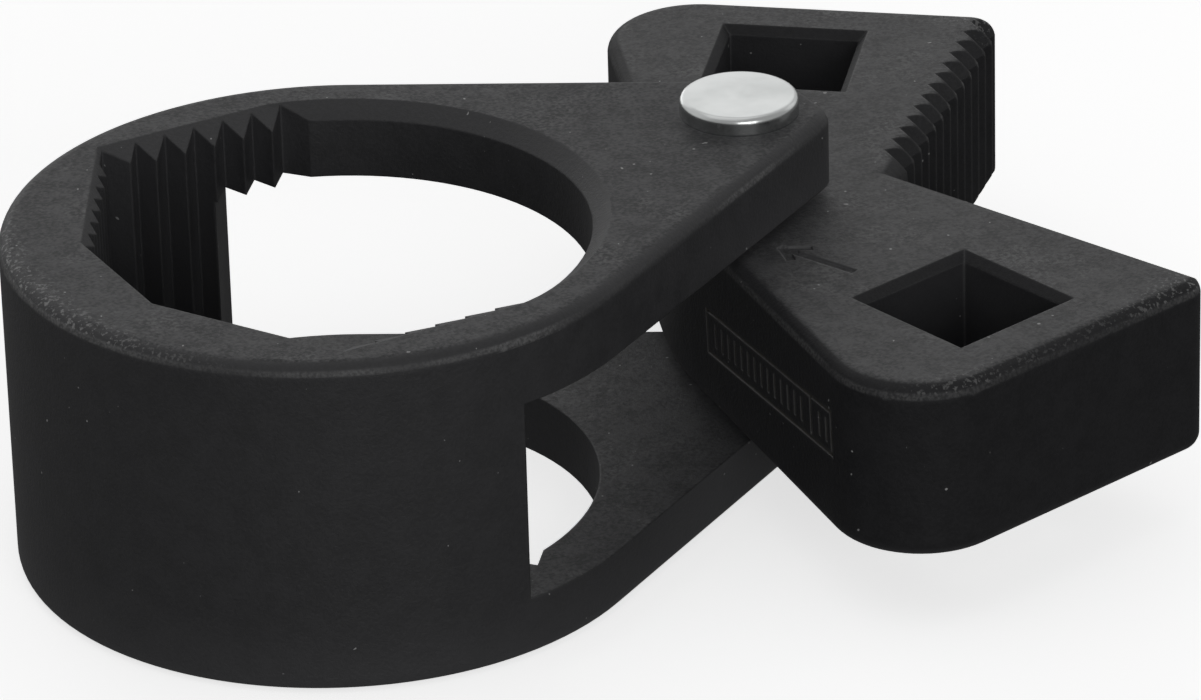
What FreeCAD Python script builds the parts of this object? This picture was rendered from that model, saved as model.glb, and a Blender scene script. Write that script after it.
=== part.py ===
import FreeCAD, Part
import math
import os

# Ring body
BODY_HEIGHT = 32.8
TOP_CHEEK = 7.2
LOW_CHEEK = 6.0
RING_OUTER_R = 30.0
BORE_R = 24.1
PIN_X = 43.2
TIP_R = 7.8
TIP_X = 50.9
TIP_CORNER_R = 4.0
BODY_EDGE_R = 1.4
WINDOW_R = 49.2

# Sloping rim round the top of the bore: outline at the top face and at its foot
RIM_DEPTH = 1.4
RIM_BORE_R = 25.8
RIM_SIDE = 24.9
RIM_SLANT = 22.2
RIM_SEAT_X = -21.4
RIM_KNEE_X = 6.2
RIM_ARC_START = 72.0
FOOT_KNEE_X = 10.0
FOOT_ARC_START = 62.0

# Toothed seat, top half; the lower half is its mirror
SIDE_VALLEY = 24.45
SIDE_TIP = 21.9
SIDE_FIRST_TIP = (-9.05, 22.4)
SIDE_FIRST_VALLEY_X = -7.55
SIDE_PITCH = 3.02
SIDE_TEETH = 6
SIDE_RISE = 0.9
SLANT_NORMAL = 150.0
SLANT_VALLEY = 21.8
SLANT_TIP = 21.1
SLANT_START = 2.4
SLANT_PITCH = 2.46
SLANT_TEETH = 7
SLANT_RISE = 0.85
SEAT_X = -20.95
BORE_MEET_Y = 22.2

# Jaw, in its own frame: pin at the origin, notch opening along +X
JAW_ANGLE = -13.2
JAW_THICKNESS = 17.4
JAW_LOW_GAP = 1.0
APEX_X = 15.7
NOTCH_HALF_ANGLE = 56.4
END_NORMAL = 64.2
END_DIST = 43.45
BACK_X = -7.1
BACK_SLOPE = 0.125
NOTCH_CORNER_R = 2.7
BACK_CORNER_R = 8.8
APEX_R = 1.2
BACK_BLEND_R = 40.0
JAW_EDGE_R = 1.6
NOTCH_EDGE_R = 2.4
SERRATION_PITCH = 2.55
SERRATION_COUNT = 13
SERRATION_DEPTH = 0.9
SERRATION_START = 2.5
RUN_OUT_TILT = 45.0
NOTCH_REACH = 60.0
SQUARE_SIDE = 12.8
SQUARE_LEAD = 0.8
SQUARE_X = 12.75
SQUARE_Y = 27.85
SQUARE_TURN = 26.0

# Marks
MARK_DEPTH = 0.25
ARROW_WIDTH = 0.9
ARROW_TAIL = (4.8, -19.1)
ARROW_TIP = (0.3, -12.75)
ARROW_BARBS = [(2.4, -13.4), (0.25, -14.95)]
PANEL_DEPTH = 0.15
PANEL_LINE = 0.4
PANEL_START = 8.7
PANEL_DROP = 11.65
PANEL_TILT = 4.3
PANEL_LENGTH = 28.4
PANEL_HEIGHT = 4.6
PANEL_CELL = 23.5
TICK_ROWS = [(1.9, 14), (25.4, 2)]
TICK_PITCH = 1.5
TICK_GAP = 1.1

# Pin
SHANK_R = 4.0
JAW_BORE_R = 4.05
HEAD_R = 5.6
HEAD_HEIGHT = 1.75
HEAD_ROUND = 0.6
RIVET_R = 5.2
RIVET_DEPTH = 1.2

# How far cutters run past a face, and how close counts as touching
CUT_MARGIN = 6.0
TOUCH = 1e-6
NEAR = 0.2


def vec(x, y, z=0.0):
    return FreeCAD.Vector(x, y, z)


def prism(points, z0, z1):
    """Solid over a closed polygon, from z0 to z1."""
    wire = Part.makePolygon([vec(x, y, z0) for x, y in points + points[:1]])
    return Part.Face(wire).extrude(vec(0, 0, z1 - z0))


def upright_edges(shape, picks):
    """Vertical edges standing at any of the given plan positions."""
    found = []
    for edge in shape.Edges:
        a, b = edge.Vertexes[0].Point, edge.Vertexes[-1].Point
        if math.hypot(a.x - b.x, a.y - b.y) > TOUCH or abs(a.z - b.z) < TOUCH:
            continue
        if any(math.hypot(a.x - x, a.y - y) < NEAR for x, y in picks):
            found.append(edge)
    return found


def flat_edges(shape, levels):
    """Edges lying wholly in one of the given levels."""
    found = []
    for edge in shape.Edges:
        box = edge.BoundBox
        if any(abs(box.ZMin - z) < TOUCH and abs(box.ZMax - z) < TOUCH for z in levels):
            found.append(edge)
    return found


def stroke(a, b, width, z0, z1):
    """Straight groove cutter with square ends half a width past a and b."""
    dx, dy = b[0] - a[0], b[1] - a[1]
    length = math.hypot(dx, dy)
    bar = Part.makeBox(length + width, width, z1 - z0, vec(-width / 2, -width / 2, z0))
    bar.rotate(vec(0, 0), vec(0, 0, 1), math.degrees(math.atan2(dy, dx)))
    bar.translate(vec(a[0], a[1]))
    return bar


# ---------------------------------------------------------------- ring body

def body_blank():
    """Plan of ring and tapering cheeks, full height, with rounded outer edges."""
    sine = (RING_OUTER_R - TIP_R) / PIN_X
    cosine = math.sqrt(1 - sine * sine)
    touch = (RING_OUTER_R * sine, RING_OUTER_R * cosine)
    end_y = (RING_OUTER_R - sine * TIP_X) / cosine
    top = vec(touch[0], touch[1])
    low = vec(touch[0], -touch[1])
    end_top = vec(TIP_X, end_y)
    end_low = vec(TIP_X, -end_y)
    ring = Part.Arc(top, vec(-RING_OUTER_R, 0), low).toShape()
    sides = [Part.makeLine(low, end_low), Part.makeLine(end_low, end_top), Part.makeLine(end_top, top)]
    blank = Part.Face(Part.Wire([ring] + sides)).extrude(vec(0, 0, BODY_HEIGHT))
    corners = upright_edges(blank, [(TIP_X, end_y), (TIP_X, -end_y)])
    blank = blank.makeFillet(TIP_CORNER_R, corners)
    return blank.makeFillet(BODY_EDGE_R, flat_edges(blank, [0.0, BODY_HEIGHT]))


def seat_corner():
    """Plan point where the side and slanted valley lines meet."""
    a = math.radians(SLANT_NORMAL)
    return (SLANT_VALLEY - SIDE_VALLEY * math.sin(a)) / math.cos(a), SIDE_VALLEY


def side_teeth():
    """Teeth of the upper straight side, from the bore inwards to the seat corner."""
    points = []
    for i in range(SIDE_TEETH - 1, -1, -1):
        valley = SIDE_FIRST_VALLEY_X + i * SIDE_PITCH
        tip = valley + SIDE_RISE
        if i < SIDE_TEETH - 1:
            points.append((tip, SIDE_TIP))
        points.append((valley, SIDE_VALLEY))
    points.append(SIDE_FIRST_TIP)
    return points


def slant_teeth():
    """Shallow teeth of the upper slanted side, from the seat corner to the flat."""
    a = math.radians(SLANT_NORMAL)
    cx, cy = seat_corner()
    along = (-math.sin(a), math.cos(a))
    step = SLANT_VALLEY - SLANT_TIP

    def at(s, lift):
        return cx + along[0] * s - math.cos(a) * lift, cy + along[1] * s - math.sin(a) * lift

    points = [at(0.0, 0.0)]
    for i in range(SLANT_TEETH):
        valley = SLANT_START + i * SLANT_PITCH
        points.append(at(valley, 0.0))
        points.append(at(valley + SLANT_RISE, step))
    return points


def bore_cutter():
    """Bore with the toothed seat, full height."""
    start = (math.sqrt(BORE_R ** 2 - BORE_MEET_Y ** 2), BORE_MEET_Y)
    a = math.radians(SLANT_NORMAL)
    flat_y = (SLANT_VALLEY - SEAT_X * math.cos(a)) / math.sin(a)
    upper = side_teeth() + slant_teeth() + [(SEAT_X, flat_y)]
    lower = [(x, -y) for x, y in reversed(upper)]
    points = [start] + upper + lower + [(start[0], -start[1])]
    lines = [vec(x, y, -CUT_MARGIN) for x, y in points]
    arc = Part.Arc(lines[-1], vec(BORE_R, 0, -CUT_MARGIN), lines[0]).toShape()
    wire = Part.Wire(Part.makePolygon(lines).Edges + [arc])
    return Part.Face(wire).extrude(vec(0, 0, BODY_HEIGHT + 2 * CUT_MARGIN))


def rim_outline(radius, side, slant, seat, arc_start, knee_x, z):
    """Outline of the sloping rim at one level, symmetric about X."""
    a = math.radians(SLANT_NORMAL)
    turn = math.radians(arc_start)
    corner_x = (slant - side * math.sin(a)) / math.cos(a)
    flat_y = (slant - seat * math.cos(a)) / math.sin(a)
    upper = [(radius * math.cos(turn), radius * math.sin(turn)), (knee_x, side)]
    upper += [(corner_x, side), (seat, flat_y)]
    points = [vec(x, y, z) for x, y in upper] + [vec(x, -y, z) for x, y in reversed(upper)]
    arc = Part.Arc(points[-1], vec(radius, 0, z), points[0]).toShape()
    return Part.Wire(Part.makePolygon(points).Edges + [arc])


def rim_cutter():
    """Shallow dish round the mouth of the bore, sloping down to the tooth tips."""
    foot = rim_outline(BORE_R, SIDE_TIP, SLANT_TIP, SEAT_X, FOOT_ARC_START, FOOT_KNEE_X,
                       BODY_HEIGHT - RIM_DEPTH)
    mouth = rim_outline(RIM_BORE_R, RIM_SIDE, RIM_SLANT, RIM_SEAT_X, RIM_ARC_START, RIM_KNEE_X,
                        BODY_HEIGHT)
    dish = Part.makeLoft([foot, mouth], True, True)
    return dish.fuse(Part.Face(mouth).extrude(vec(0, 0, CUT_MARGIN)))


def ring_body():
    body = body_blank().cut(bore_cutter())
    body = body.cut(rim_cutter())
    slot_height = BODY_HEIGHT - TOP_CHEEK - LOW_CHEEK
    body = body.cut(Part.makeCylinder(WINDOW_R, slot_height, vec(PIN_X, 0, LOW_CHEEK)))
    body = body.cut(Part.makeCylinder(SHANK_R, BODY_HEIGHT, vec(PIN_X, 0)))
    return body.cut(Part.makeCone(RIVET_R, SHANK_R, RIVET_DEPTH, vec(PIN_X, 0)))


# --------------------------------------------------------------- swing jaw

def jaw_corners():
    """Plan corners of the upper arm: apex, notch corner, back corner, back middle."""
    n = math.radians(END_NORMAL)
    half = math.radians(NOTCH_HALF_ANGLE)
    reach = END_DIST - APEX_X * math.cos(n)
    length = reach / (math.cos(half) * math.cos(n) + math.sin(half) * math.sin(n))
    notch = (APEX_X + length * math.cos(half), length * math.sin(half))
    y = (END_DIST - BACK_X * math.cos(n)) / (math.sin(n) + BACK_SLOPE * math.cos(n))
    back = (BACK_X + BACK_SLOPE * y, y)
    return (APEX_X, 0.0), notch, back, (BACK_X, 0.0)


def jaw_blank(z0, z1):
    apex, notch, back, middle = jaw_corners()
    low_back = (back[0], -back[1])
    low_notch = (notch[0], -notch[1])
    blank = prism([apex, notch, back, middle, low_back, low_notch], z0, z1)
    blank = blank.makeFillet(APEX_R, upright_edges(blank, [apex]))
    blank = blank.makeFillet(BACK_BLEND_R, upright_edges(blank, [middle]))
    blank = blank.makeFillet(NOTCH_CORNER_R, upright_edges(blank, [notch, low_notch]))
    blank = blank.makeFillet(BACK_CORNER_R, upright_edges(blank, [back, low_back]))
    return blank.makeFillet(JAW_EDGE_R, flat_edges(blank, [z0, z1]))


def square_cutter(side_sign, z0, z1):
    """Square drive hole with a mitred lead-in at both faces."""
    half = SQUARE_SIDE / 2
    wide = half + SQUARE_LEAD

    def ring(reach, z):
        corners = [(-reach, -reach), (reach, -reach), (reach, reach), (-reach, reach)]
        return Part.makePolygon([vec(x, y, z) for x, y in corners + corners[:1]])

    hole = Part.Face(ring(half, z0 - CUT_MARGIN)).extrude(vec(0, 0, z1 - z0 + 2 * CUT_MARGIN))
    top = Part.makeLoft([ring(half, z1 - SQUARE_LEAD), ring(wide, z1)], True, True)
    low = Part.makeLoft([ring(wide, z0), ring(half, z0 + SQUARE_LEAD)], True, True)
    cutter = hole.fuse([top, low])
    cutter.rotate(vec(0, 0), vec(0, 0, 1), -side_sign * SQUARE_TURN)
    cutter.translate(vec(SQUARE_X, side_sign * SQUARE_Y))
    return cutter


def serration_face(z):
    """Saw-toothed face in the notch-face frame: X along the face, Y into the metal."""
    points = [(SERRATION_START, -CUT_MARGIN), (SERRATION_START, 0.0)]
    for i in range(SERRATION_COUNT):
        s = SERRATION_START + i * SERRATION_PITCH
        points.append((s + SERRATION_PITCH / 2, SERRATION_DEPTH))
        points.append((s + SERRATION_PITCH, 0.0))
    points.append((SERRATION_START + SERRATION_COUNT * SERRATION_PITCH, -CUT_MARGIN))
    return Part.Face(Part.makePolygon([vec(x, y, z) for x, y in points + points[:1]]))


def edge_rounding(z1):
    """Metal to take off the top edge of the notch face, in the notch-face frame."""
    r = NOTCH_EDGE_R
    start = vec(-CUT_MARGIN, 0, z1 - r)
    block = Part.makeBox(NOTCH_REACH, r, r, start)
    rod = Part.makeCylinder(r, NOTCH_REACH, vec(-CUT_MARGIN, r, z1 - r), vec(1, 0, 0))
    return block.cut(rod)


def mirrored(shape):
    """Mirror image in the jaw's own middle plane, one arm for the other."""
    return shape.mirror(vec(0, 0, 0), vec(0, 1, 0))


def turned_down(shape, z0, z1):
    """Mirror image in the plane halfway up the jaw."""
    return shape.mirror(vec(0, 0, (z0 + z1) / 2), vec(0, 0, 1))


def run_out(teeth, z1):
    """The same teeth tilted, so that they run out over the top rounding of the notch face."""
    tilted = teeth.copy()
    tilted.rotate(vec(0, NOTCH_EDGE_R, z1 - NOTCH_EDGE_R), vec(1, 0, 0), -RUN_OUT_TILT)
    return tilted


def notch_cutter(z0, z1):
    """Edge rounding and serrations of the upper notch face, in the jaw frame."""
    top_round = edge_rounding(z1)
    low_round = turned_down(top_round, z0, z1)
    teeth = serration_face(z0).extrude(vec(0, 0, z1 - z0))
    cutter = teeth.fuse([top_round, low_round, run_out(teeth, z1)])
    cutter.rotate(vec(0, 0), vec(0, 0, 1), NOTCH_HALF_ANGLE)
    cutter.translate(vec(APEX_X, 0))
    corner = vec(0, 0, z0 - CUT_MARGIN)
    upper_half = Part.makeBox(2 * NOTCH_REACH, NOTCH_REACH, z1 - z0 + 2 * CUT_MARGIN, corner)
    return cutter.common(upper_half)


def arrow_cutter(z1):
    z0 = z1 - MARK_DEPTH
    lines = [(ARROW_TAIL, ARROW_TIP)]
    lines += [(ARROW_TIP, barb) for barb in ARROW_BARBS]
    strokes = [stroke(a, b, ARROW_WIDTH, z0, z1 + CUT_MARGIN) for a, b in lines]
    return strokes[0].fuse(strokes[1:])


def panel_cutter(z1):
    """Plain framed panel with rows of ticks on the back face of the lower arm."""
    w = PANEL_LINE
    boxes = []

    def bar(s0, s1, v0, v1):
        boxes.append(Part.makeBox(s1 - s0, 2 * PANEL_DEPTH, v1 - v0, vec(s0, -PANEL_DEPTH, v0)))

    bar(0, PANEL_LENGTH, 0, w)
    bar(0, PANEL_LENGTH, PANEL_HEIGHT - w, PANEL_HEIGHT)
    for s in (0, PANEL_CELL, PANEL_LENGTH - w):
        bar(s, s + w, 0, PANEL_HEIGHT)
    for start, count in TICK_ROWS:
        for i in range(count):
            s = start + i * TICK_PITCH
            bar(s, s + w, TICK_GAP, PANEL_HEIGHT - TICK_GAP)
    shape = boxes[0].fuse(boxes[1:])
    shape.rotate(vec(0, 0), vec(0, 1, 0), -PANEL_TILT)
    shape.translate(vec(PANEL_START, 0, z1 - PANEL_DROP))
    heading = math.degrees(math.atan2(-1.0, BACK_SLOPE))
    shape.rotate(vec(0, 0), vec(0, 0, 1), heading)
    shape.translate(vec(BACK_X, 0))
    return shape


def swing_jaw():
    z0 = LOW_CHEEK + JAW_LOW_GAP
    z1 = z0 + JAW_THICKNESS
    jaw = jaw_blank(z0, z1)
    upper = notch_cutter(z0, z1)
    lower = turned_down(mirrored(upper), z0, z1)
    jaw = jaw.cut(upper).cut(lower)
    for sign in (1, -1):
        jaw = jaw.cut(square_cutter(sign, z0, z1))
    jaw = jaw.cut(Part.makeCylinder(JAW_BORE_R, BODY_HEIGHT))
    arrow = arrow_cutter(z1)
    for cutter in (arrow, mirrored(arrow), panel_cutter(z1)):
        jaw = jaw.cut(cutter)
    jaw.rotate(vec(0, 0), vec(0, 0, 1), JAW_ANGLE)
    jaw.translate(vec(PIN_X, 0))
    return jaw


# --------------------------------------------------------------- pivot pin

def pivot_pin():
    """Headed rivet, revolved about its own axis."""
    z_top = BODY_HEIGHT + HEAD_HEIGHT
    z_side = z_top - HEAD_ROUND
    crown = HEAD_R - HEAD_ROUND
    slant = HEAD_ROUND * math.sqrt(0.5)
    side = [
        (0.0, 0.0),
        (RIVET_R, 0.0),
        (SHANK_R, RIVET_DEPTH),
        (SHANK_R, BODY_HEIGHT),
        (HEAD_R, BODY_HEIGHT),
        (HEAD_R, z_side),
    ]
    up = [vec(r, 0, z) for r, z in side]
    rounding = Part.Arc(up[-1], vec(crown + slant, 0, z_side + slant), vec(crown, 0, z_top)).toShape()
    top = Part.makePolygon([vec(crown, 0, z_top), vec(0, 0, z_top), up[0]])
    wire = Part.Wire(Part.makePolygon(up).Edges + [rounding] + top.Edges)
    pin = Part.Face(wire).revolve(vec(0, 0, 0), vec(0, 0, 1), 360)
    pin.translate(vec(PIN_X, 0))
    return pin


def main():
    os.makedirs("parts", exist_ok=True)
    nodes = {
        "ring_body": ring_body(),
        "swing_jaw": swing_jaw(),
        "pivot_pin": pivot_pin(),
    }
    for name, shape in nodes.items():
        shape.removeSplitter().Solids[0].exportStep("parts/" + name + ".step")


main()
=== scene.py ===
import math

import bpy
from mathutils import Matrix, Vector

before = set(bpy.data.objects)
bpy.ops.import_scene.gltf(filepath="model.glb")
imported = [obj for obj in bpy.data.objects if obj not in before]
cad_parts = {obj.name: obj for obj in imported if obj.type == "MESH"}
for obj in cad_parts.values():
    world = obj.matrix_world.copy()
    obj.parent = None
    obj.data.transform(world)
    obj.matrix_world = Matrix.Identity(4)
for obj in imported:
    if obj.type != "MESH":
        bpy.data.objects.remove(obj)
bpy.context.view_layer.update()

MM = 0.001
WHITE = (1, 1, 1, 1)

# Camera: angles in degrees, lens and sensor in millimetres
AIM = Vector((23.99, -7.08, 16.0)) * MM
DISTANCE = 732.0 * MM
AZIMUTH = -28.31
ELEVATION = 26.63
ROLL = 1.61
LENS = 237.2
SENSOR_WIDTH = 36.0
CLIP_END = 50.0

# Place and heading of the jaw, and the slope of its back face from the pin axis
PIN_X = 43.2 * MM
JAW_HEADING = math.radians(-13.2)
BACK_X = -7.1 * MM
BACK_SLOPE = 0.125

# What differs between the two forgings. Tones are the darkest and lightest base colours. Gloss is
# the specular level of dark and light grain on level faces, then of all other faces. Ends start
# being rubbed at the first reach from the middle and are fully rubbed at the second. Rub and
# highlight is how strongly the top rounding is lightened away from the ends and at them: a
# painted highlight band along the rounding that turns into wear towards the ends. Crest wear and
# highlight lightens sharp edges and serration crests, partly edge wear and partly painted
# highlight.
BODY_FINISH = {
    "tones": ((0.0225, 0.0225, 0.0243, 1), (0.0315, 0.0315, 0.0338, 1)),
    "gloss": (0.28, 0.78, 0.55),
    "middle": (14.0 * MM, 0, 0),
    "reach": (40.0 * MM, 44.3 * MM),
    "rub_and_highlight": (0.06, 0.44),
    "crest_wear_and_highlight": 0.05,
    "etched": False,
}
JAW_FINISH = {
    "tones": ((0.0135, 0.0135, 0.0149, 1), (0.0205, 0.0205, 0.0223, 1)),
    "gloss": (0.42, 0.96, 0.26),
    "middle": (PIN_X, 0, 0),
    "reach": (41.0 * MM, 47.5 * MM),
    "rub_and_highlight": (0.03, 0.30),
    "crest_wear_and_highlight": 0.30,
    "etched": True,
}

# Noises of the finishes: bumps per metre, detail, roughness
GRAIN = (2600.0, 4.0, 0.65)
MOTTLE = (420.0, 4.0, 0.6)
CLOUD = (45.0, 3.0, 0.5)
CHIPS = (3400.0, 3.0, 0.6)
PATCHES = (48.0, 3.0, 0.55)
SPECKS = (2300.0, 3.0, 0.6)
SCUFFS = (130.0, 5.0, 0.7)
DUST = (1300.0, 1.0, 0.5)
RUBBING = (700.0, 4.0, 0.7)
ZINC_FINE = (1800.0, 4.0, 0.6)
ZINC_BROAD = (160.0, 3.0, 0.5)
FLOOR_GRAIN = (30.0, 2.0, 0.5)

# Where each mask turns from none to full
TONE_BAND = (0.38, 0.62)
LEVEL_BAND = (0.9, 0.99)
ROUNDING_FOOT = (0.10, 0.26)
ROUNDING_TOP = (0.62, 0.44)
CREST_BAND = (0.03, 0.25)
CHIP_BAND = (0.34, 0.66)
PATCH_BAND = (0.40, 0.64)
SPECK_BAND = (0.53, 0.64)
SPECK_FACING_UP = (0.3, 0.6)
SCUFF_BAND = (0.50, 0.70)
SCUFF_GRAIN_BAND = (0.42, 0.60)
DUST_BAND = (0.785, 0.81)
PAINTED_FILL_BAND = (0.85, 0.25)
RUBBING_BAND = (0.35, 0.65)
ZINC_BAND = (0.35, 0.7)

# Black steel: shares of grain, mottle and cloud in the tone, then colours, strengths and sizes
TONE_SHARES = (0.50, 0.38, 0.12)
# Painted fill light: holes and corners get this lighter base colour, as if light reached into
# them
PAINTED_FILL_COLOR = (0.085, 0.085, 0.090, 1)
PAINTED_FILL_REACH = 15.0 * MM
PAINTED_FILL_STRENGTH = 0.7
PAINTED_FILL_SAMPLES = 8
# Bare worn steel, also the colour of the painted highlights along the top rounding and edges
WORN_STEEL_AND_HIGHLIGHT = (0.30, 0.30, 0.30, 1)
WEAR_AND_HIGHLIGHT_SMOOTHER = 0.2
WEAR_AND_HIGHLIGHT_METALLIC = 0.5
CREST_RADIUS = 0.6 * MM
CHIP_STRENGTH = (0.25, 1.0)
SPECK_STRENGTH = 0.8
SCUFF_STRENGTH = 0.12
DUST_COLOR = (0.6, 0.6, 0.6, 1)
DUST_STRENGTH = 0.6
STEEL_ROUGHNESS = (0.50, 0.68)
EDGE_RADIUS = 0.30 * MM
BEVEL_SAMPLES = 6
CLOUD_HEIGHT = 0.10 * MM
MOTTLE_HEIGHT = 0.05 * MM
GRAIN_HEIGHT = 0.06 * MM

# Etched lines: distance behind the back face, extent along the arm and in height
ETCHED_COLOR = (0.075, 0.069, 0.060, 1)
ETCHED_STRENGTH = (0.35, 1.0)
ETCH_DEPTH = (0.04 * MM, 0.09 * MM)
ETCH_LIMIT = 0.3 * MM
PANEL_REACH = (8.0 * MM, 36.95 * MM)
PANEL_LEVEL = (12.0 * MM, 20.5 * MM)

# Zinc plate
ZINC_COLOR = (0.66, 0.675, 0.67, 1)
ZINC_DULL = (0.55, 0.565, 0.56, 1)
ZINC_ROUGHNESS = (0.16, 0.28)
ZINC_HEIGHT = 0.006 * MM
ZINC_EDGE_RADIUS = 0.25 * MM

# Floor
FLOOR_SIZE = 30.0
FLOOR_DROP = 0.02 * MM
FLOOR_COLORS = ((0.93, 0.93, 0.93, 1), (0.91, 0.91, 0.91, 1))
FLOOR_GLOW = 0.68
FLOOR_IN_REFLECTIONS = 0.12
FLOOR_UNSEEN = (0.50, 0.50, 0.50, 1)

# World strengths, the one in reflections in front and at the back, and where it changes over
WORLD_FILL = 0.20
WORLD_SEEN = 1.0
WORLD_IN_REFLECTIONS = (0.40, 0.66)
WORLD_DEPTH = (-0.3, 0.5)

# Lights: name, place and size in metres, power in watts
LIGHTS = [
    ("back_panel", (0.40, 1.30, 0.70), (1.6, 0.7), 1.3),
    ("overhead", (-0.10, 0.15, 1.10), (1.2, 0.9), 0.8),
    ("front_fill", (-0.26, -1.25, 0.38), (0.8, 0.6), 3.5),
    ("right_fill", (1.30, 0.10, 0.55), (0.7, 0.7), 0.4),
    ("rear_fill", (0.10, 1.50, 0.22), (0.9, 0.4), 0.9),
]


class Nodes:
    """A short way to write the node tree of a material or a world."""

    def __init__(self, owner):
        owner.use_nodes = True
        self.owner = owner
        self.tree = owner.node_tree
        self.tree.nodes.clear()

    def add(self, kind, **settings):
        node = self.tree.nodes.new(kind)
        for key, value in settings.items():
            setattr(node, key, value)
        return node

    def put(self, socket, value):
        """Links an output to the socket, or sets the socket to a plain value."""
        if isinstance(value, bpy.types.NodeSocket):
            self.tree.links.new(value, socket)
        else:
            socket.default_value = value

    def coordinates(self):
        """Position in the object's own frame."""
        return self.add("ShaderNodeTexCoord").outputs["Object"]

    def noise(self, scale, detail, roughness):
        """Noise with about scale bumps per metre of the object's own frame."""
        node = self.add("ShaderNodeTexNoise")
        self.put(node.inputs["Vector"], self.coordinates())
        self.put(node.inputs["Scale"], scale)
        self.put(node.inputs["Detail"], detail)
        self.put(node.inputs["Roughness"], roughness)
        return node.outputs["Fac"]

    def math(self, operation, a, b, clamp=False):
        node = self.add("ShaderNodeMath", operation=operation, use_clamp=clamp)
        self.put(node.inputs[0], a)
        self.put(node.inputs[1], b)
        return node.outputs[0]

    def times(self, a, b):
        return self.math("MULTIPLY", a, b)

    def larger(self, a, b):
        return self.math("MAXIMUM", a, b)

    def band(self, value, low, high):
        """0 up to low, 1 from high on, smooth between; low may be the larger of the two."""
        node = self.add("ShaderNodeMapRange", interpolation_type="SMOOTHSTEP")
        self.put(node.inputs["Value"], value)
        self.put(node.inputs["From Min"], low)
        self.put(node.inputs["From Max"], high)
        return node.outputs["Result"]

    def span(self, value, low, high):
        """Maps 0..1 to low..high."""
        node = self.add("ShaderNodeMapRange")
        self.put(node.inputs["Value"], value)
        self.put(node.inputs["To Min"], low)
        self.put(node.inputs["To Max"], high)
        return node.outputs["Result"]

    def mix(self, factor, a, b):
        """Colour mix; inputs 6 and 7 and output 2 are the node's colour sockets."""
        node = self.add("ShaderNodeMix", data_type="RGBA")
        self.put(node.inputs[0], factor)
        self.put(node.inputs[6], a)
        self.put(node.inputs[7], b)
        return node.outputs[2]

    def bump(self, height, distance, normal):
        node = self.add("ShaderNodeBump")
        self.put(node.inputs["Height"], height)
        self.put(node.inputs["Distance"], distance)
        self.put(node.inputs["Normal"], normal)
        return node.outputs["Normal"]

    def soft_edges(self, radius):
        """Normals rounded over the edges by radius."""
        node = self.add("ShaderNodeBevel", samples=BEVEL_SAMPLES)
        self.put(node.inputs["Radius"], radius)
        return node.outputs["Normal"]

    def edge_mask(self, radius):
        """Above 0 on edges, 0 on flats, from how far rounding turns the normal."""
        dot = self.add("ShaderNodeVectorMath", operation="DOT_PRODUCT")
        self.put(dot.inputs[0], self.soft_edges(radius))
        self.put(dot.inputs[1], self.add("ShaderNodeNewGeometry").outputs["True Normal"])
        return self.math("SUBTRACT", 1.0, dot.outputs["Value"], clamp=True)

    def painted_fill_mask(self, reach):
        """Painted fill light: 0 on open faces, near 1 deep in holes and corners, where the base
        colour is lightened in place of light reaching them.
        """
        node = self.add("ShaderNodeAmbientOcclusion", samples=PAINTED_FILL_SAMPLES)
        self.put(node.inputs["Distance"], reach)
        return self.band(node.outputs["AO"], *PAINTED_FILL_BAND)

    def upward(self):
        """Vertical part of the surface normal."""
        split = self.add("ShaderNodeSeparateXYZ")
        self.put(split.inputs[0], self.add("ShaderNodeNewGeometry").outputs["Normal"])
        return split.outputs[2]

    def rounding_wear_and_highlight(self):
        """Wear and painted highlight: 1 on a band along the outer part of the rounding of upper
        edges, 0 elsewhere.
        """
        up = self.upward()
        return self.times(self.band(up, *ROUNDING_FOOT), self.band(up, *ROUNDING_TOP))

    def beyond(self, middle, low, high):
        """0 nearer than low to an upright line through middle, 1 beyond high."""
        plan = self.add("ShaderNodeVectorMath", operation="MULTIPLY")
        self.put(plan.inputs[0], self.coordinates())
        self.put(plan.inputs[1], (1, 1, 0))
        gap = self.add("ShaderNodeVectorMath", operation="DISTANCE")
        self.put(gap.inputs[0], plan.outputs[0])
        self.put(gap.inputs[1], middle)
        return self.band(gap.outputs["Value"], low, high)

    def switch(self, factor, off, on):
        """Shader that is off at factor 0 and on at factor 1."""
        node = self.add("ShaderNodeMixShader")
        self.put(node.inputs[0], factor)
        self.put(node.inputs[1], off)
        self.put(node.inputs[2], on)
        return node.outputs[0]

    def glow(self, strength):
        node = self.add("ShaderNodeEmission")
        self.put(node.inputs["Strength"], strength)
        return node.outputs[0]

    def matte(self, color):
        node = self.add("ShaderNodeBsdfDiffuse")
        self.put(node.inputs["Color"], color)
        return node.outputs[0]

    def background(self, strength):
        node = self.add("ShaderNodeBackground")
        self.put(node.inputs["Color"], WHITE)
        self.put(node.inputs["Strength"], strength)
        return node.outputs[0]

    def close(self, shader, output="ShaderNodeOutputMaterial"):
        """Sends shader to the output and gives the finished material or world."""
        self.put(self.add(output).inputs["Surface"], shader)
        return self.owner

    def finish(self, color, roughness, metallic, normal, specular=0.5):
        shader = self.add("ShaderNodeBsdfPrincipled")
        self.put(shader.inputs["Base Color"], color)
        self.put(shader.inputs["Roughness"], roughness)
        self.put(shader.inputs["Metallic"], metallic)
        self.put(shader.inputs["Specular IOR Level"], specular)
        self.put(shader.inputs["Normal"], normal)
        return self.close(shader.outputs[0])


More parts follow.
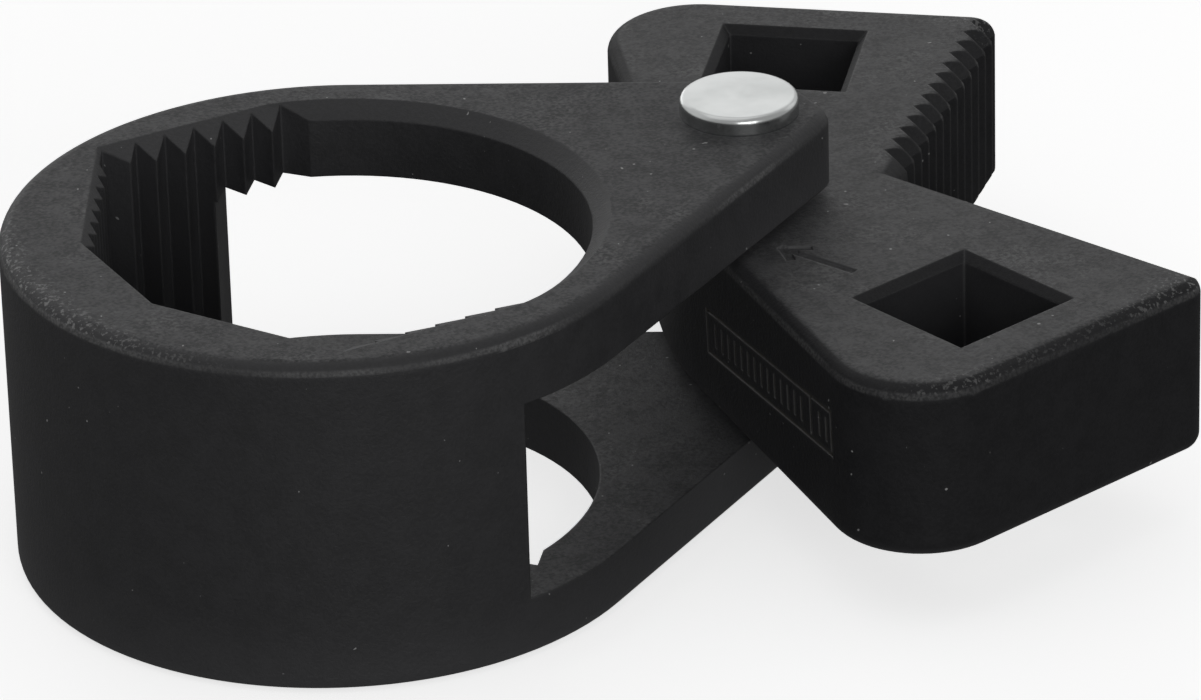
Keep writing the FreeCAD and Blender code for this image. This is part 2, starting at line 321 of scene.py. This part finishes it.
def etched_mask(n):
    """1 inside the shallow lines etched in the lower arm's back face."""
    turn = n.add("ShaderNodeVectorRotate", rotation_type="Z_AXIS")
    n.put(turn.inputs["Vector"], n.coordinates())
    n.put(turn.inputs["Center"], (PIN_X, 0, 0))
    n.put(turn.inputs["Angle"], -JAW_HEADING)
    split = n.add("ShaderNodeSeparateXYZ")
    n.put(split.inputs[0], turn.outputs[0])
    x = n.math("SUBTRACT", split.outputs[0], PIN_X)
    along = n.times(split.outputs[1], -1.0)
    face = n.math("ADD", n.times(along, BACK_SLOPE), BACK_X)
    depth = n.math("SUBTRACT", x, face)
    inside = n.times(n.band(depth, *ETCH_DEPTH), n.math("LESS_THAN", depth, ETCH_LIMIT))
    for value, (low, high) in ((along, PANEL_REACH), (split.outputs[2], PANEL_LEVEL)):
        inside = n.times(inside, n.math("GREATER_THAN", value, low))
        inside = n.times(inside, n.math("LESS_THAN", value, high))
    return inside


def etched_strength(n):
    """Uneven strength for the etched lines, as if partly rubbed away."""
    return n.span(n.band(n.noise(*RUBBING), *RUBBING_BAND), *ETCHED_STRENGTH)


def wear_and_highlight_mask(n, grain, level, middle, reach, rub_and_highlight, crest_wear_and_highlight):
    """How far bare steel shows, with painted highlights: rubbed rounding carrying a painted
    highlight band, crests partly worn and partly painted highlight, specks at the ends, scuffs on
    top.
    """
    ends = n.beyond(middle, *reach)
    chips = n.span(n.band(n.noise(*CHIPS), *CHIP_BAND), *CHIP_STRENGTH)
    patches = n.larger(n.band(n.noise(*PATCHES), *PATCH_BAND), ends)
    # Painted highlight band along the top rounding, strengthened into wear in patches and towards
    # the ends
    rubbed_and_highlight = n.times(n.times(n.rounding_wear_and_highlight(), chips), n.span(patches, *rub_and_highlight))
    # Sharp edges and crests lightened, partly edge wear and partly painted highlight
    crests = n.times(n.band(n.edge_mask(CREST_RADIUS), *CREST_BAND), crest_wear_and_highlight)
    specks = n.times(n.band(n.noise(*SPECKS), *SPECK_BAND), ends)
    specks = n.times(specks, n.band(n.upward(), *SPECK_FACING_UP))
    scuffs = n.times(n.band(n.noise(*SCUFFS), *SCUFF_BAND), n.band(grain, *SCUFF_GRAIN_BAND))
    wear_and_highlight = n.larger(rubbed_and_highlight, crests)
    wear_and_highlight = n.larger(wear_and_highlight, n.times(specks, SPECK_STRENGTH))
    return n.larger(wear_and_highlight, n.times(n.times(scuffs, level), SCUFF_STRENGTH))


def black_steel(name, tones, gloss, middle, reach, rub_and_highlight, crest_wear_and_highlight, etched):
    """Blasted forged steel under matte black phosphate, rubbed bright towards its outer ends,
    with painted fill light lightening holes and corners and painted highlights along the top
    rounding and edges.
    """
    n = Nodes(bpy.data.materials.new(name))
    grain = n.noise(*GRAIN)
    mottle = n.noise(*MOTTLE)
    cloud = n.noise(*CLOUD)
    tone = n.math("ADD", n.times(grain, TONE_SHARES[0]), n.times(mottle, TONE_SHARES[1]))
    tone = n.band(n.math("ADD", tone, n.times(cloud, TONE_SHARES[2])), *TONE_BAND)
    # Painted fill light: the base colour is lightened deep in holes and corners
    painted_fill = n.times(n.painted_fill_mask(PAINTED_FILL_REACH), PAINTED_FILL_STRENGTH)
    color = n.mix(painted_fill, n.mix(tone, *tones), PAINTED_FILL_COLOR)

    level = n.band(n.upward(), *LEVEL_BAND)
    wear_and_highlight = wear_and_highlight_mask(n, grain, level, middle, reach, rub_and_highlight, crest_wear_and_highlight)
    # Wear and painted highlights mixed into the colour
    color = n.mix(wear_and_highlight, color, WORN_STEEL_AND_HIGHLIGHT)
    dust = n.band(n.noise(*DUST), *DUST_BAND)
    color = n.mix(n.times(dust, DUST_STRENGTH), color, DUST_COLOR)
    if etched:
        color = n.mix(n.times(etched_mask(n), etched_strength(n)), color, ETCHED_COLOR)

    roughness = n.math("SUBTRACT", n.span(mottle, *STEEL_ROUGHNESS), n.times(wear_and_highlight, WEAR_AND_HIGHLIGHT_SMOOTHER))
    normal = n.bump(cloud, CLOUD_HEIGHT, n.soft_edges(EDGE_RADIUS))
    normal = n.bump(mottle, MOTTLE_HEIGHT, normal)
    normal = n.bump(grain, GRAIN_HEIGHT, normal)
    dark, light, side = gloss
    specular = n.span(level, side, n.span(tone, dark, light))
    return n.finish(color, roughness, n.times(wear_and_highlight, WEAR_AND_HIGHLIGHT_METALLIC), normal, specular)


def zinc_steel(name):
    """Satin zinc plate with a faint fine grain and duller patches."""
    n = Nodes(bpy.data.materials.new(name))
    fine = n.noise(*ZINC_FINE)
    color = n.mix(n.band(n.noise(*ZINC_BROAD), *ZINC_BAND), ZINC_COLOR, ZINC_DULL)
    normal = n.bump(fine, ZINC_HEIGHT, n.soft_edges(ZINC_EDGE_RADIUS))
    return n.finish(color, n.span(fine, *ZINC_ROUGHNESS), 1.0, normal)


def dress(node, material):
    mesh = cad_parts[node].data
    mesh.materials.clear()
    mesh.materials.append(material)


def floor_material():
    """White to the camera, dim in reflections, grey to diffuse light so little comes back up."""
    n = Nodes(bpy.data.materials.new("pale_floor"))
    both = n.add("ShaderNodeAddShader")
    n.put(both.inputs[0], n.matte(n.mix(n.noise(*FLOOR_GRAIN), *FLOOR_COLORS)))
    n.put(both.inputs[1], n.glow(FLOOR_GLOW))
    path = n.add("ShaderNodeLightPath")
    reflected = n.glow(FLOOR_IN_REFLECTIONS)
    unseen = n.switch(path.outputs["Is Glossy Ray"], n.matte(FLOOR_UNSEEN), reflected)
    return n.close(n.switch(path.outputs["Is Camera Ray"], unseen, both.outputs[0]))


def add_floor():
    bpy.ops.mesh.primitive_plane_add(size=FLOOR_SIZE, location=(0, 0, -FLOOR_DROP))
    floor = bpy.context.object
    floor.name = "floor"
    floor.data.materials.append(floor_material())


def add_world():
    """White to the camera, brighter at the back in reflections, a low fill for diffuse light."""
    n = Nodes(bpy.data.worlds.new("studio"))
    split = n.add("ShaderNodeSeparateXYZ")
    n.put(split.inputs[0], n.add("ShaderNodeTexCoord").outputs["Generated"])
    depth = n.band(split.outputs[1], *WORLD_DEPTH)
    reflected = n.background(n.span(depth, *WORLD_IN_REFLECTIONS))
    path = n.add("ShaderNodeLightPath")
    unseen = n.switch(path.outputs["Is Glossy Ray"], n.background(WORLD_FILL), reflected)
    every = n.switch(path.outputs["Is Camera Ray"], unseen, n.background(WORLD_SEEN))
    bpy.context.scene.world = n.close(every, "ShaderNodeOutputWorld")


def add_softbox(name, place, size, watts):
    """Rectangular area light aimed at the object's middle."""
    data = bpy.data.lights.new(name, "AREA")
    data.shape = "RECTANGLE"
    data.size = size[0]
    data.size_y = size[1]
    data.energy = watts
    lamp = bpy.data.objects.new(name, data)
    lamp.location = place
    toward = AIM - Vector(place)
    lamp.rotation_euler = toward.to_track_quat("-Z", "Y").to_euler()
    bpy.context.collection.objects.link(lamp)


def add_camera():
    data = bpy.data.cameras.new("camera")
    data.lens = LENS
    data.sensor_width = SENSOR_WIDTH
    data.clip_end = CLIP_END
    camera = bpy.data.objects.new("camera", data)
    azimuth = math.radians(AZIMUTH)
    elevation = math.radians(ELEVATION)
    out = Vector((math.sin(azimuth), -math.cos(azimuth), 0)) * math.cos(elevation)
    out.z = math.sin(elevation)
    roll = Matrix.Rotation(math.radians(-ROLL), 3, "Z")
    turn = (-out).to_track_quat("-Z", "Y").to_matrix() @ roll
    camera.matrix_world = Matrix.Translation(AIM + out * DISTANCE) @ turn.to_4x4()
    bpy.context.collection.objects.link(camera)
    bpy.context.scene.camera = camera


dress("ring_body", black_steel("black_steel_body", **BODY_FINISH))
dress("swing_jaw", black_steel("black_steel_jaw", **JAW_FINISH))
dress("pivot_pin", zinc_steel("zinc_steel"))

add_floor()
add_world()
for light in LIGHTS:
    add_softbox(*light)
add_camera()

bpy.context.scene.view_settings.view_transform = "Standard"
